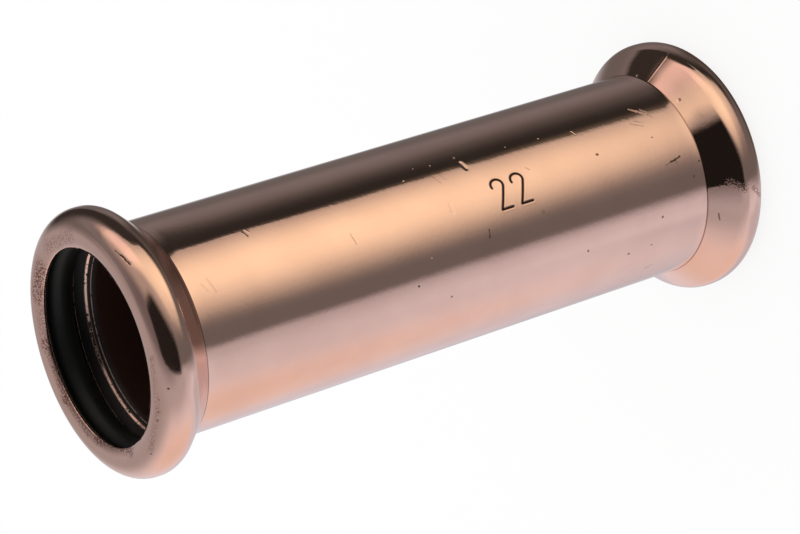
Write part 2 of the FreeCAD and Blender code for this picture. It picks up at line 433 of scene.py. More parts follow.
def stroke_distance(path):
    """Distance of every grid point from the path, in millimetres. Points off the tube's outside or
    far from the numerals keep a large distance."""
    distance = np.full((len(profile), len(columns)), FAR_AWAY)
    low, high = path.min(axis=0) - STROKE_MARGIN, path.max(axis=0) + STROKE_MARGIN
    along = turn * TUBE_RADIUS
    near_columns = np.flatnonzero((along > low[0]) & (along < high[0]))
    on_tube = np.isclose(row_radius, TUBE_RADIUS)
    near_rows = np.flatnonzero(on_tube & (row_height > low[1]) & (row_height < high[1]))
    place = np.stack(np.meshgrid(along[near_columns], row_height[near_rows]), axis=-1)
    gaps = np.linalg.norm(place[:, :, None, :] - path[None, None, :, :], axis=-1)
    distance[np.ix_(near_rows, near_columns)] = gaps.min(axis=-1)
    return distance


stroke_gap = stroke_distance(numerals)
groove = np.exp(-((stroke_gap / STROKE_WIDTH) ** 2))
rim = np.exp(-(((stroke_gap - 2 * STROKE_WIDTH) / STROKE_WIDTH) ** 2))
relief = RIM_HEIGHT * rim - STROKE_DEPTH * groove
print(f"deepest point of the numerals {relief.min():.3f} mm")

# %% [markdown]
# ## Knocks and dents
#
# The bead's face has a gouge, the tube a nick beside the numerals, and the far bead a raised line
# where the rolling tool left a seam. These three are large enough to be shaped. Each is a line
# between two places on the surface, and the metal sinks or rises with a bell curve of the distance
# from it. Places are given as they were measured: depth from the near face, angle round the axis
# and, off the tube, distance from the axis.

# %% Shaping along lines


def at(depth, angle, radius=TUBE_RADIUS):
    """A place in millimetres from its depth below the near face, its angle in degrees and its
    distance from the axis, which is the tube's where none is given."""
    around = math.radians(angle)
    return np.array([radius * math.cos(around), radius * math.sin(around), LENGTH - depth])


def line_relief(points, start, end, width, rise):
    """Rise at each point: a bell curve, this wide, of its distance from the line."""
    line = end - start
    share = np.clip((points - start) @ line / (line @ line), 0, 1)
    gap = np.linalg.norm(points - start - share[..., None] * line, axis=-1)
    return rise * np.exp(-((gap / width) ** 2))


SHAPED_MARKS = [
    # what it is, start, end, width, rise
    ("gouge in the near bead", at(0.88, 304.8, 14.66), at(1.05, 299.4, 14.8), 0.08, -0.04),
    ("nick in the tube", at(46.2, 307.2), at(46.35, 302.8), 0.2, -0.06),
    ("seam on the far bead", at(80.1, 327.2, 15.08), at(77.04, 326.5, 12.41), 0.09, 0.03),
]
for label, *shape in SHAPED_MARKS:
    relief = relief + line_relief(plain_points, *shape)
    print(f"{label}: {shape[-1]} mm")

# %% [markdown]
# The lip is the cut end of the tube, and the cut left a slight burr that sparkles along the mouth.
# A few waves of different counts round the lip push its rounded edge out by some hundredths of a
# millimetre.

# %% The lip's burr
BURR_HEIGHT = 0.04
BURR_WAVES = {9: 4.0, 23: 0.0, 41: 1.0, 67: 2.2}
on_lip_edge = (row_radius < LIP_RADIUS + LIP_EDGE_ROUND) & (row_inside == 0)


def burr(angle):
    """How far the cut edge stands proud: waves of the given counts round the lip, each with its
    own start, scaled to lie between nothing and the full height."""
    waves = sum(np.sin(count * angle + start) for count, start in BURR_WAVES.items())
    return BURR_HEIGHT * (0.5 + waves / (2 * len(BURR_WAVES)))


relief = relief + on_lip_edge[:, None] * burr(turn)
print(f"{on_lip_edge.sum()} rows on the lips' edges, burr up to {burr(turn).max():.3f} mm")

# %% [markdown]
# ## The coupling's body
#
# Every grid point now moves along its row's normal by its relief. The copper's material needs to
# know where the numerals' strokes are and which rows are inside the tube, so both are kept as
# attributes of the mesh. An attribute stays with the surface however the piece is placed.

# %% The body's surface
SHARP_ANGLE = math.radians(50)

grid_radius = every_radius + relief * normals[:, :1]
grid_height = every_height + relief * normals[:, 1:]
body_points = turned_points(grid_radius, grid_height, every_turn) * MM

steps = np.linalg.norm(np.diff(np.concatenate([profile, profile[:1]]), axis=0), axis=1)
along_profile = np.concatenate([[0], np.cumsum(steps)])
body_u = np.append(columns, 360.0) / 360.0
body_v = along_profile / along_profile[-1]
body_mesh = closed_grid_mesh("coupling_body_surface", body_points, body_u, body_v)
body_mesh.set_sharp_from_angle(angle=SHARP_ANGLE)


def add_values(mesh, name, values):
    """Keeps one number for each vertex in the mesh, for the material to read."""
    layer = mesh.attributes.new(name, "FLOAT", "POINT")
    layer.data.foreach_set("value", values.astype(np.float32).ravel())


add_values(body_mesh, "stroke", groove)
add_values(body_mesh, "inside", np.broadcast_to(row_inside[:, None], groove.shape))
body = add_piece("copper_body", body_mesh, "coupling_body")
print(f"{len(body_mesh.polygons)} faces on the body")

# %% [markdown]
# ## The sealing rings
#
# A round rubber ring lies in each chamber. The ring is a circle carried round a larger circle, and
# both circles are read from the frame, so that it fills exactly the place of the CAD ring.

# %% Two rubber rings
RING_COLUMNS = 180
RING_ROWS = 48


def ring_mesh(name, node):
    """Torus from the node's box: section radius is half its height, path half way up."""
    low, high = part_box(node)
    section = (high.z - low.z) / 2 / MM
    middle = (high.z + low.z) / 2 / MM
    path_radius = high.x / MM - section
    around = np.linspace(0, 2 * math.pi, RING_ROWS, endpoint=False)[:, None]
    sweep = np.linspace(0, 2 * math.pi, RING_COLUMNS, endpoint=False)[None, :]
    radius = path_radius + section * np.cos(around)
    height = middle + section * np.sin(around)
    grid = turned_points(radius + 0 * sweep, height + 0 * sweep, sweep + 0 * around) * MM
    u, v = np.linspace(0, 1, RING_COLUMNS + 1), np.linspace(0, 1, RING_ROWS + 1)
    return closed_grid_mesh(name, grid, u, v)


rings = []
for end in ("lower", "upper"):
    node = end + "_seal_ring"
    surface = ring_mesh(node + "_surface", node)
    rings.append(add_piece(end + "_rubber_ring", surface, node))
print("rings:", [ring.name for ring in rings])

# %% [markdown]
# ## Shader building blocks
#
# Small functions keep the node code short. `put` adds a node and fills its sockets: a plain value
# is written on the socket, and a socket is linked to it. The group `near line` gives 1 close to a
# line between two points and 0 away from it. It paints all scratches, specks and worn places.

# %% Node helpers


def fill(node, values):
    """Links or writes each value to the node's socket of that name or place."""
    for key, value in values.items():
        if isinstance(value, bpy.types.NodeSocket):
            node.id_data.links.new(value, node.inputs[key])
        else:
            node.inputs[key].default_value = value
    return node


def put(tree, kind, inputs=None, **settings):
    """Adds one node, sets its properties, fills or links its inputs and returns the node."""
    node = tree.nodes.new(kind)
    for name, value in settings.items():
        setattr(node, name, value)
    return fill(node, inputs or {})


def maths(tree, operation, first, second=0.0, third=0.0, clamp=False):
    """One Math node's output."""
    inputs = {0: first, 1: second, 2: third}
    return put(tree, "ShaderNodeMath", inputs, operation=operation, use_clamp=clamp).outputs[0]


def vector_maths(tree, operation, first, second=(0, 0, 0)):
    """One Vector Math node."""
    return put(tree, "ShaderNodeVectorMath", {0: first, 1: second}, operation=operation)


def scaled(tree, vector, factor):
    """A vector times a number."""
    inputs = {0: vector, "Scale": factor}
    return put(tree, "ShaderNodeVectorMath", inputs, operation="SCALE").outputs[0]


def product(tree, *factors):
    """All factors multiplied."""
    total = factors[0]
    for factor in factors[1:]:
        total = maths(tree, "MULTIPLY", total, factor)
    return total


def mix_colour(tree, mask, first, second):
    """Colour that goes from first to second as mask goes from 0 to 1. The node has inputs for
    numbers, vectors and colours under the same names, so the colour sockets are found by place."""
    node = tree.nodes.new("ShaderNodeMix")
    node.data_type = "RGBA"
    return fill(node, {0: mask, 6: first, 7: second}).outputs[2]


def smooth_range(tree, value, start, end):
    """Smooth step from 1 at start to 0 at end, or the other way when start is the larger."""
    inputs = {"Value": value, "From Min": start, "From Max": end, "To Min": 1.0, "To Max": 0.0}
    node = put(tree, "ShaderNodeMapRange", inputs, interpolation_type="SMOOTHSTEP")
    return node.outputs["Result"]


# %% The group that finds what lies near a line
GROUP_INPUTS = {
    # name: kind of socket and the value it starts with
    "Point": ("Vector", (0, 0, 0)), "From": ("Vector", (0, 0, 0)), "To": ("Vector", (1, 0, 0)),
    "Full": ("Float", 0.1), "Zero": ("Float", 0.2),
}
near_line = bpy.data.node_groups.new("near line", "ShaderNodeTree")
for label, (kind, start_value) in GROUP_INPUTS.items():
    kind = "NodeSocket" + kind
    socket = near_line.interface.new_socket(label, in_out="INPUT", socket_type=kind)
    socket.default_value = start_value
near_line.interface.new_socket("Mask", in_out="OUTPUT", socket_type="NodeSocketFloat")
given = near_line.nodes.new("NodeGroupInput").outputs
result = near_line.nodes.new("NodeGroupOutput").inputs

from_start = vector_maths(near_line, "SUBTRACT", given["Point"], given["From"]).outputs[0]
whole_line = vector_maths(near_line, "SUBTRACT", given["To"], given["From"]).outputs[0]
along_line = vector_maths(near_line, "DOT_PRODUCT", from_start, whole_line).outputs["Value"]
line_squared = vector_maths(near_line, "DOT_PRODUCT", whole_line, whole_line).outputs["Value"]
line_share = maths(near_line, "DIVIDE", along_line, line_squared, clamp=True)
nearest = scaled(near_line, whole_line, line_share)
gap = vector_maths(near_line, "DISTANCE", from_start, nearest).outputs["Value"]
near_mask = smooth_range(near_line, gap, given["Full"], given["Zero"])
near_line.links.new(near_mask, result["Mask"])
print("group:", near_line.name)

# %% [markdown]
# ## Marks of use
#
# The tube has been lying among other metal. Its scratches, knocks and specks are too small to be
# shaped, one or two tenths of a millimetre wide, so the material draws them: each is a line
# between two places, and a speck is a very short line. A mark either darkens the copper or bends
# its surface. A dent without any dark shows only where it bends a reflection, as the white sparks
# in the dark band do.

# %% Scratches, dents and scuffs
SCRATCHES = [
    # start, end, half width, darkness
    (at(0.86, 305.6, 14.64), at(1.05, 299.2, 14.8), 0.1, 0.9),
    (at(0.72, 309.4, 14.51), at(0.9, 304.5, 14.68), 0.05, 0.8),
    (at(16.55, 306.6), at(16.85, 302.2), 0.11, 0.8),
    (at(28.39, 286.3), at(28.54, 280.3), 0.09, 0.35),
    (at(9.75, 286.3), at(10.2, 278.9), 0.16, 0.14),
    (at(8.9, 284.5), at(9.3, 280.5), 0.14, 0.12),
    (at(41.77, 304.5), at(42.22, 298.9), 0.1, 0.2),
    (at(42.7, 304.0), at(43.1, 300.0), 0.1, 0.15),
    (at(45.52, 266.8), at(45.37, 262.4), 0.09, 0.75),
    (at(53.4, 292.6), at(53.7, 291.0), 0.1, 0.3),
    (at(72.5, 271.4), at(74.05, 272.9), 0.11, 0.9),
    (at(71.67, 270.5), at(72.5, 271.4), 0.06, 0.5),
    (at(73.2, 272.3), at(73.4, 269.8), 0.06, 0.5),
    (at(69.72, 299.2), at(71.2, 295.6), 0.06, 0.5),
    (at(70.4, 300.4), at(71.6, 297.6), 0.06, 0.35),
    (at(68.82, 209.0), at(69.87, 211.0), 0.07, 0.5),
    (at(77.88, 236.6, 13.17), at(78.02, 233.1, 13.29), 0.1, 0.7),
]
DENTS = [
    # start, end, half width, rise
    (at(17.0, 306.8), at(17.25, 304.8), 0.1, 0.02),
    (at(41.92, 286.3), at(41.77, 281.0), 0.25, -0.012),
    (at(61.9, 305.6), at(62.1, 302.8), 0.09, -0.03),
]
SCUFFS = [
    # start, end, half width, strength
    (at(71.0, 309.0), at(71.9, 305.5), 0.16, 1.0),
    (at(71.6, 306.8), at(72.5, 302.6), 0.2, 0.9),
    (at(72.3, 306.6), at(72.9, 303.4), 0.14, 0.8),
    (at(72.6, 302.8), at(73.1, 299.2), 0.12, 0.7),
]
print(f"{len(SCRATCHES)} scratches, {len(DENTS)} dents and {len(SCUFFS)} scuffs")

# %% Specks and pits
SPECK_LENGTH = np.array([0.0, 0.0, 0.08])

SPECKS = [
    # place, half width, darkness
    (at(35.0, 249.2), 0.13, 0.85),
    (at(39.36, 237.3), 0.12, 0.8),
    (at(53.34, 266.7), 0.2, 0.25),
    (at(63.26, 287.7), 0.16, 0.85),
    (at(58.9, 237.6), 0.13, 0.8),
    (at(65.21, 226.8), 0.13, 0.8),
    (at(70.02, 243.2), 0.12, 0.75),
    (at(68.67, 227.8), 0.11, 0.65),
    (at(75.28, 260.1), 0.12, 0.75),
    (at(76.6, 267.4), 0.11, 0.75),
    (at(71.52, 287.7), 0.11, 0.65),
    (at(77.6, 302.6, 12.9), 0.14, 0.6),
    (at(0.81, 244.3, 14.61), 0.13, 0.85),
    (at(0.03, 257.6, 13.09), 0.1, 0.5),
    (at(0.14, 238.0, 13.56), 0.11, 0.6),
    (at(0.1, 226.8, 13.44), 0.15, 0.65),
    (at(0.1, 213.8, 13.44), 0.1, 0.5),
    (at(0.23, 204.4, 13.78), 0.13, 0.6),
]
PITS = [
    # place, half width, rise
    (at(38.16, 306.6), 0.1, -0.02),
    (at(42.52, 311.5), 0.1, -0.02),
    (at(40.41, 312.9), 0.07, -0.015),
    (at(45.97, 311.8), 0.1, -0.02),
    (at(52.74, 308.7), 0.07, -0.015),
    (at(57.4, 307.6), 0.08, -0.02),
    (at(37.26, 262.1), 0.1, -0.02),
    (at(77.53, 303.1, 12.85), 0.2, -0.04),
    (at(77.09, 336.3, 12.44), 0.12, -0.03),
]


def as_lines(rows):
    """Specks as very short lines, in rows of (start, end, half width, strength)."""
    return [(place, place + SPECK_LENGTH, *rest) for place, *rest in rows]


dark_marks = SCRATCHES + as_lines(SPECKS)
risen_marks = DENTS + as_lines(PITS)
print(f"{len(SPECKS)} specks and {len(PITS)} pits")

# %% Worn patches on the beads
WORN_PATCHES = [
    # start, end, half width, strength
    (at(0.1, 31, 12.2), at(0.1, 51, 12.2), 0.95, 1.0),
    (at(0.2, 52, 11.9), at(0.2, 80, 11.9), 0.7, 0.45),
    (at(0.2, 80, 11.7), at(0.2, 112, 11.7), 0.6, 0.7),
    (at(0.2, 112, 11.7), at(0.2, 138, 11.7), 0.5, 0.6),
    (at(0.25, 146, 11.6), at(0.15, 186, 11.9), 0.5, 1.0),
    (at(0.05, 345, 12.6), at(0.05, 14, 12.6), 0.8, 0.5),
    (at(0.1, 258, 13.3), at(0.1, 232, 13.4), 0.4, 0.35),
    (at(0.1, 232, 13.4), at(0.15, 205, 13.6), 0.4, 0.4),
    (at(78.9, 253.4, 14.1), at(80.3, 249.5, 15.2), 0.45, 0.8),
    (at(81.5, 248.5, 15.3), at(82.6, 243.9, 15.0), 0.3, 0.7),
]
print(f"{len(WORN_PATCHES)} worn patches")

# %% [markdown]
# ## Copper
#
# Clean copper reflects nearly all red light and about half of the blue, so its colour is the
# colour of its reflections. A metal therefore needs an even base colour and carefully varied
# roughness. The tube was drawn and then bead-rolled and polished, which leaves hair-fine
# lengthwise lines. The rolled bead is duller where the rollers touched it, and its lip is mottled
# brown. The inside was never polished: it has a nearly black skin, rubbed bright in thin lines
# where pipes and the seal touched the slope behind the chamber.

# %% Colours of copper, clean, tarnished and oxidised, and of painted shade
CLEAN_COPPER = (0.955, 0.638, 0.538, 1.0)
TARNISHED_COPPER = (0.5, 0.27, 0.21, 1.0)
MOTTLE_COLOUR = (0.24, 0.07, 0.05, 1.0)
# Painted shade: dark lines in the creases beside the beads and on the near flank.
CREASE_SHADE_COLOUR = (0.16, 0.055, 0.04, 1.0)
PIT_COLOUR = (0.03, 0.012, 0.008, 1.0)
SKIN_COLOUR = (0.028, 0.009, 0.005, 1.0)
# Painted shade: the chamber beside the ring is darker than the rest of the skin.
CHAMBER_SHADE_COLOUR = (0.008, 0.005, 0.004, 1.0)

copper = bpy.data.materials.new("polished_copper")
copper.use_nodes = True
tree = copper.node_tree
copper_shader = tree.nodes["Principled BSDF"]
print("material:", copper.name)

# %% [markdown]
# The patterns read the place on the object in millimetres, and from it the distance from the axis,
# the depth below the nearer end face and the angle. So one number, such as a radius, is enough for
# a line that runs right round the piece.

# %% Places in the copper's shader
WINDOW_EDGE = (0.6, 1.3)
INSIDE_EDGE = (0.35, 0.0)
SPECKLE_SCALE = 4.5
CLOUD_SCALE = 0.16


def window(tree, value, middle, half):
    """1 where the value is no farther than half from the middle, with soft sides."""
    gap = maths(tree, "ABSOLUTE", maths(tree, "SUBTRACT", value, middle))
    return smooth_range(tree, gap, WINDOW_EDGE[0] * half, WINDOW_EDGE[1] * half)


def noise(tree, place, scale, detail, output="Fac"):
    """Noise, with the scale in waves for each unit of place."""
    inputs = {"Vector": place, "Scale": scale, "Detail": detail}
    return put(tree, "ShaderNodeTexNoise", inputs).outputs[output]


def attribute(tree, name):
    """A number that the mesh keeps for each vertex."""
    return put(tree, "ShaderNodeAttribute", attribute_name=name).outputs["Fac"]


object_place = put(tree, "ShaderNodeTexCoord").outputs["Object"]
in_mm = scaled(tree, object_place, 1 / MM)
x_mm, y_mm, z_mm = put(tree, "ShaderNodeSeparateXYZ", {0: in_mm}).outputs
flat = put(tree, "ShaderNodeCombineXYZ", {"X": x_mm, "Y": y_mm}).outputs[0]
radius_mm = vector_maths(tree, "LENGTH", flat).outputs["Value"]
near_depth = maths(tree, "SUBTRACT", LENGTH, z_mm)
depth_mm = maths(tree, "MINIMUM", z_mm, near_depth)
degrees_round = product(tree, maths(tree, "ARCTAN2", y_mm, x_mm), 180 / math.pi)
inside_mask = smooth_range(tree, attribute(tree, "inside"), *INSIDE_EDGE)
outside_mask = maths(tree, "SUBTRACT", 1.0, inside_mask)
stroke_mask = attribute(tree, "stroke")
speckle = noise(tree, in_mm, SPECKLE_SCALE, 4.0)
clouds = noise(tree, in_mm, CLOUD_SCALE, 3.0)
print(f"{len(tree.nodes)} nodes for places and noise")

# %% [markdown]
# Inside, a dark skin covers everything except a few rubbed lines on the slope that faces the
# mouth. The lines stand slightly proud, and noise breaks them where the skin has held.

# %% The skin inside, its rubbed lines and the painted shade of the chamber
RUBBED_LINES = [
    # radius, half width, strength
    (11.85, 0.14, 1.0),
    (11.45, 0.04, 0.4),
    (12.8, 0.035, 0.4),
]
SLOPE_START = (3.6, 3.3)
CHAMBER_SHADE_END = (6.4, 7.4)
WEAR_SCALE = 2.5
WEAR_LIMITS = (0.46, 0.34)

rubbed = 0.0
for middle, half, strength in RUBBED_LINES:
    line = product(tree, window(tree, radius_mm, middle, half), strength)
    rubbed = maths(tree, "MAXIMUM", line, rubbed)
on_slope = smooth_range(tree, depth_mm, *SLOPE_START)
ridge = product(tree, rubbed, on_slope, inside_mask)
worn_through = smooth_range(tree, noise(tree, in_mm, WEAR_SCALE, 3.0), *WEAR_LIMITS)
bare_lines = product(tree, ridge, worn_through)
skin = product(tree, inside_mask, maths(tree, "SUBTRACT", 1.0, bare_lines))
# Painted shade: from the mouth to the slope before the bore, the skin gets a darker colour.
painted_chamber_shade = smooth_range(tree, depth_mm, *CHAMBER_SHADE_END)
print(f"{len(RUBBED_LINES)} rubbed lines")

# %% [markdown]
# A thin dark line of painted shade lies in the crease beside each bead, and two fine dark lines of
# painted reflection run part of the way round the near flank. Masks of depth and angle paint them.
# The worn patches of the beads are blotchy, so their mask is broken up by a fine noise.

# %% Painted shade in the creases and worn patches
CREASE_SHADE_LINE = (7.12, 0.08)
CREASE_SHADE_DARKNESS = 0.7
CREASE_REFLECTION_LINES = [(6.45, 0.08), (6.75, 0.08)]
REFLECTION_LINE_REACH = (-70.0, 26.0)
REFLECTION_LINE_DARKNESS = 0.8
PATCH_EDGE = (0.4, 1.6)
BLOTCH_LIMITS = (0.55, 0.45)


def summed_lines(tree, place, rows, edge):
    """Sum of the lines' masks, each times its strength, from rows of (start, end, half width,
    strength). The edge gives the shares of the half width at which a mask is full and at which it
    ends."""
    total = 0.0
    for start, end, half, strength in rows:
        inputs = {"Point": place, "From": tuple(start), "To": tuple(end),
                  "Full": edge[0] * half, "Zero": edge[1] * half}
        mask = put(tree, "ShaderNodeGroup", inputs, node_tree=near_line).outputs["Mask"]
        total = maths(tree, "MULTIPLY_ADD", mask, strength, total)
    return total


# Painted shade: a thin dark line in each crease, and painted dark reflection lines part of the way
# round the near flank, on the outside only.
painted_crease_shade = product(tree, window(tree, depth_mm, *CREASE_SHADE_LINE), CREASE_SHADE_DARKNESS)
for line in CREASE_REFLECTION_LINES:
    within_reach = window(tree, degrees_round, *REFLECTION_LINE_REACH)
    painted_reflection_line = product(tree, window(tree, near_depth, *line), within_reach, REFLECTION_LINE_DARKNESS)
    painted_crease_shade = maths(tree, "MAXIMUM", painted_crease_shade, painted_reflection_line)
painted_crease_shade = product(tree, painted_crease_shade, outside_mask)
blotches = smooth_range(tree, speckle, *BLOTCH_LIMITS)
worn = maths(tree, "MINIMUM", summed_lines(tree, in_mm, WORN_PATCHES, PATCH_EDGE), 1.0)
mottle = product(tree, worn, blotches, outside_mask)
print(f"{len(CREASE_REFLECTION_LINES)} painted reflection lines")

# %% [markdown]
# A real scratch is never quite straight, so all small marks are drawn on a place that wavers by a
# fraction of a millimetre. Dark marks, raised marks and scuffs are summed apart. A relief that
# also held the dark marks would be more than the renderer's shader stack can carry.

# %% All small marks
WAVER = 0.25
WAVER_SCALE = 2.5
MARK_EDGE = (0.35, 1.5)
STROKE_DARKNESS = 1.6

waver = noise(tree, in_mm, WAVER_SCALE, 2.0, "Color")
moved = put(tree, "ShaderNodeVectorMath", {0: waver, 1: (WAVER,) * 3, 2: in_mm},
            operation="MULTIPLY_ADD").outputs[0]
wavy_place = vector_maths(tree, "SUBTRACT", moved, (WAVER / 2,) * 3).outputs[0]
darkened = summed_lines(tree, wavy_place, dark_marks, MARK_EDGE)
marks_dark = maths(tree, "MULTIPLY_ADD", stroke_mask, STROKE_DARKNESS, darkened, clamp=True)
scuffed = summed_lines(tree, wavy_place, SCUFFS, MARK_EDGE)
marks_rise = summed_lines(tree, wavy_place, risen_marks, MARK_EDGE)
print(f"{len(dark_marks)} dark marks and {len(risen_marks)} that only rise or sink")

# %% [markdown]
# The colours are laid one over the other: tarnish in soft clouds, then mottling, the painted
# shade of the creases and dark marks, and last the skin inside, with painted shade deeper in the
# chamber. The skin is an oxide and not a metal, so it also takes the metallic value away.

# %% Colour of the copper
CLOUD_LIMITS = (0.7, 0.35)
TARNISH = 0.1
MOTTLE = 0.85

tarnish = product(tree, smooth_range(tree, clouds, *CLOUD_LIMITS), TARNISH)
colour = mix_colour(tree, tarnish, CLEAN_COPPER, TARNISHED_COPPER)
colour = mix_colour(tree, product(tree, mottle, MOTTLE), colour, MOTTLE_COLOUR)
# The painted shade of the creases darkens the colour.
colour = mix_colour(tree, painted_crease_shade, colour, CREASE_SHADE_COLOUR)
colour = mix_colour(tree, marks_dark, colour, PIT_COLOUR)
# The oxide skin, with painted shade deeper in the chamber.
skin_and_shade_colour = mix_colour(tree, painted_chamber_shade, SKIN_COLOUR, CHAMBER_SHADE_COLOUR)
colour = mix_colour(tree, skin, colour, skin_and_shade_colour)
metallic = maths(tree, "SUBTRACT", 1.0, skin)
print(f"{len(tree.nodes)} nodes up to the colour")

# %% [markdown]
# The polish is nearly a mirror. Everything that lies on it or cuts it is duller by its own amount,
# and the rounded face of each bead is a little duller than the tube.

# %% Roughness of the copper
POLISH = 0.02
POLISH_SPREAD = 0.02
SKIN_ROUGHNESS = 0.5
BEAD_FACE = (1.8, 3.4)
DULLING = [
    # mask, what it adds to the roughness
    (mottle, 0.12),
    (smooth_range(tree, depth_mm, *BEAD_FACE), 0.07),
    (marks_dark, 0.4),
    (scuffed, 0.45),
]

roughness = maths(tree, "MULTIPLY_ADD", clouds, POLISH_SPREAD, POLISH)
for mask, amount in DULLING:
    roughness = maths(tree, "MULTIPLY_ADD", mask, amount, roughness)
roughness = maths(tree, "MAXIMUM", roughness, product(tree, skin, SKIN_ROUGHNESS))
print(f"roughness from {POLISH} on the clean tube to {SKIN_ROUGHNESS} on the skin")

# %% [markdown]
# The relief is in millimetres. Drawing the tube left hair-fine lines along it, which are noise
# stretched along the axis. Polishing left shallow waves, in which reflections wander a little.

# %% Fine relief of the copper
LENGTHWISE = (1.0, 1.0, 0.03)
drawn_out = vector_maths(tree, "MULTIPLY", in_mm, LENGTHWISE).outputs[0]
RELIEF = [
    # pattern, rise in millimetres
    (noise(tree, drawn_out, 5.0, 2.0), 0.0012),
    (noise(tree, in_mm, 1.7, 2.0), 0.004),
    (noise(tree, in_mm, 0.09, 1.0), 0.05),
    (product(tree, speckle, mottle), 0.02),
    (ridge, 0.16),
]

height = marks_rise
for pattern, rise in RELIEF:
    height = maths(tree, "MULTIPLY_ADD", pattern, rise, height)
bump = put(tree, "ShaderNodeBump", {"Strength": 1.0, "Distance": MM, "Height": height})
fill(copper_shader, {"Base Color": colour, "Metallic": metallic, "Roughness": roughness,
                     "Normal": bump.outputs[0]})
body.data.materials.append(copper)
print(f"{copper.name}: {len(tree.nodes)} nodes")

# %% [markdown]
# ## Rubber
#
# The rings are smooth black rubber. In the shade of the chamber they show only a faint, wide
# gloss, so one dark colour and an even, fairly high roughness are enough.

# %% Black rubber
RUBBER_COLOUR = (0.006, 0.0068, 0.006, 1.0)
RUBBER_ROUGHNESS = 0.45
RUBBER_GLOSS = 0.3

rubber = bpy.data.materials.new("black_rubber")
rubber.use_nodes = True
fill(rubber.node_tree.nodes["Principled BSDF"],
     {"Base Color": RUBBER_COLOUR, "Roughness": RUBBER_ROUGHNESS,
      "Specular IOR Level": RUBBER_GLOSS})
for ring in rings:
    ring.data.materials.append(rubber)
print("material:", rubber.name)

# %% [markdown]
# ## The studio
#
# Copper shows its surroundings, so the surroundings are part of the picture. A plain white box
# would make it look like flat pink plastic. Here the reflections see a soft studio made of flat
# cards: a pale wall on the left and behind, a long warm softbox low in front with a pink glow
# above it, a black flag beside it, and the darker room. Seen from the object, the straight edge of
# a distant card is part of a great circle. So each edge is a plane through the object and two
# directions, and how far a looking direction lies beyond that plane tells whether it meets the
# card. Every edge has its own softness. Later cards cover earlier ones.

# %% Distant cards of the studio
ROOM_COLOUR = (0.175, 0.17, 0.17, 1)
FLAG_EDGE = [((-38, -50), (-16.3, -29), 0.8), ((-16.3, -29), (14, 10), 2)]
WALL_SIDES = [((-127.5, -60), (-127.5, 60), 6), ((80, -60), (84, 60), 30)]
CARDS = [
    # name, a direction on the card, colour, edges as (direction, direction, softness), where a
    # direction is (azimuth, elevation) and all angles are in degrees
    ("pale wall", (150, -5), (0.8, 0.785, 0.825, 1), [
        *WALL_SIDES, ((150, 65), (70, 55), 60)]),
    ("foot of the wall", (150, -60), (0.69, 0.7, 0.77, 1), [
        *WALL_SIDES, ((-150, -27.5), (135, -28), 6)]),
    ("warm patch", (150, -20), (0.8, 0.68, 0.62, 1), [
        ((130, -60), (130, 60), 16), ((-176, -60), (-176, 60), 16),
        ((-150, -26.5), (135, -27), 5), ((-170, 22), (110, 22), 22)]),
    ("upper wall", (115, 40), (0.38, 0.375, 0.385, 1), [
        ((92, -15), (160, 42), 22), ((76, -60), (78, 60), 12)]),
    ("shaded wall", (-132, -5), (0.455, 0.455, 0.48, 1), [
        WALL_SIDES[0], ((-134, -38), (-150, 5), 14)]),
    ("ground", (0, -90), (0.15, 0.147, 0.145, 1), [
        ((-160, -68), (110, -68), 8)]),
    ("ceiling", (0, 90), (0.15, 0.135, 0.14, 1), [
        ((-90, 56), (-30, 60), 14), ((30, 58), (90, 60), 14), ((100, 75), (200, 70), 14)]),
    ("pale strip", (32, -30), (0.205, 0.2, 0.21, 1), [
        ((20, -60), (24, 20), 14), ((42, -60), (44, 20), 8)]),
    ("dark ground", (50, -60), (0.07, 0.062, 0.052, 1), [
        ((20, -39), (80, -39), 7), ((95, -80), (95, -20), 15), ((5, -80), (14, -30), 12)]),
    ("softbox", (-50, -10), (0.42, 0.375, 0.335, 1), [
        ((-90, -60), (-90, 40), 20), *FLAG_EDGE, ((-80, -50), (-20, -50), 14),
        ((20, 5), (22, 40), 10), ((-60, 50), (20, 48), 16)]),
    ("glow above", (-10, 20), (0.9, 0.72, 0.64, 1), [
        ((-34, 10), (-30, 50), 11), ((-18, 0), (14, 10), 8), ((15, 10), (14, 40), 16),
        ((-30, 30), (10, 32), 10)]),
    ("flag", (0, -15), (0.03, 0.029, 0.026, 1), [
        *FLAG_EDGE, ((-4, -60), (17, 5), 14), ((0, -4), (60, -6), 7),
        ((-30, -62), (40, -62), 12)]),
]


def direction(azimuth, elevation):
    """Unit vector from azimuth and elevation in degrees."""
    around, lift = math.radians(azimuth), math.radians(elevation)
    level = math.cos(lift)
    return Vector((level * math.cos(around), level * math.sin(around), math.sin(lift)))


def beyond_edge(tree, looking, on_card, start, end, softness):
    """Mask of the looking directions on the card's side of the edge through two directions."""
    square = direction(*start).cross(direction(*end)).normalized()
    if square.dot(direction(*on_card)) < 0:
        square.negate()
    soft = math.sin(math.radians(softness))
    distance = vector_maths(tree, "DOT_PRODUCT", looking, tuple(square)).outputs["Value"]
    return smooth_range(tree, distance, soft, -soft)


world = bpy.data.worlds.new("studio")
bpy.context.scene.world = world
world.use_nodes = True
tree = world.node_tree
tree.nodes.clear()
looking = put(tree, "ShaderNodeTexCoord").outputs["Generated"]
seen = ROOM_COLOUR
for label, on_card, card_colour, edges in CARDS:
    masks = [beyond_edge(tree, looking, on_card, *edge) for edge in edges]
    seen = mix_colour(tree, product(tree, *masks), seen, card_colour)
print("cards:", [card[0] for card in CARDS])

# %% [markdown]
# Only reflections see the cards. Matt surfaces get an even white light at plain strength, so that
# a colour renders about as it is written, and the camera itself sees only white.

# %% What each kind of ray meets
WHITE = (1, 1, 1, 1)
SOFT_LIGHT = 1.0


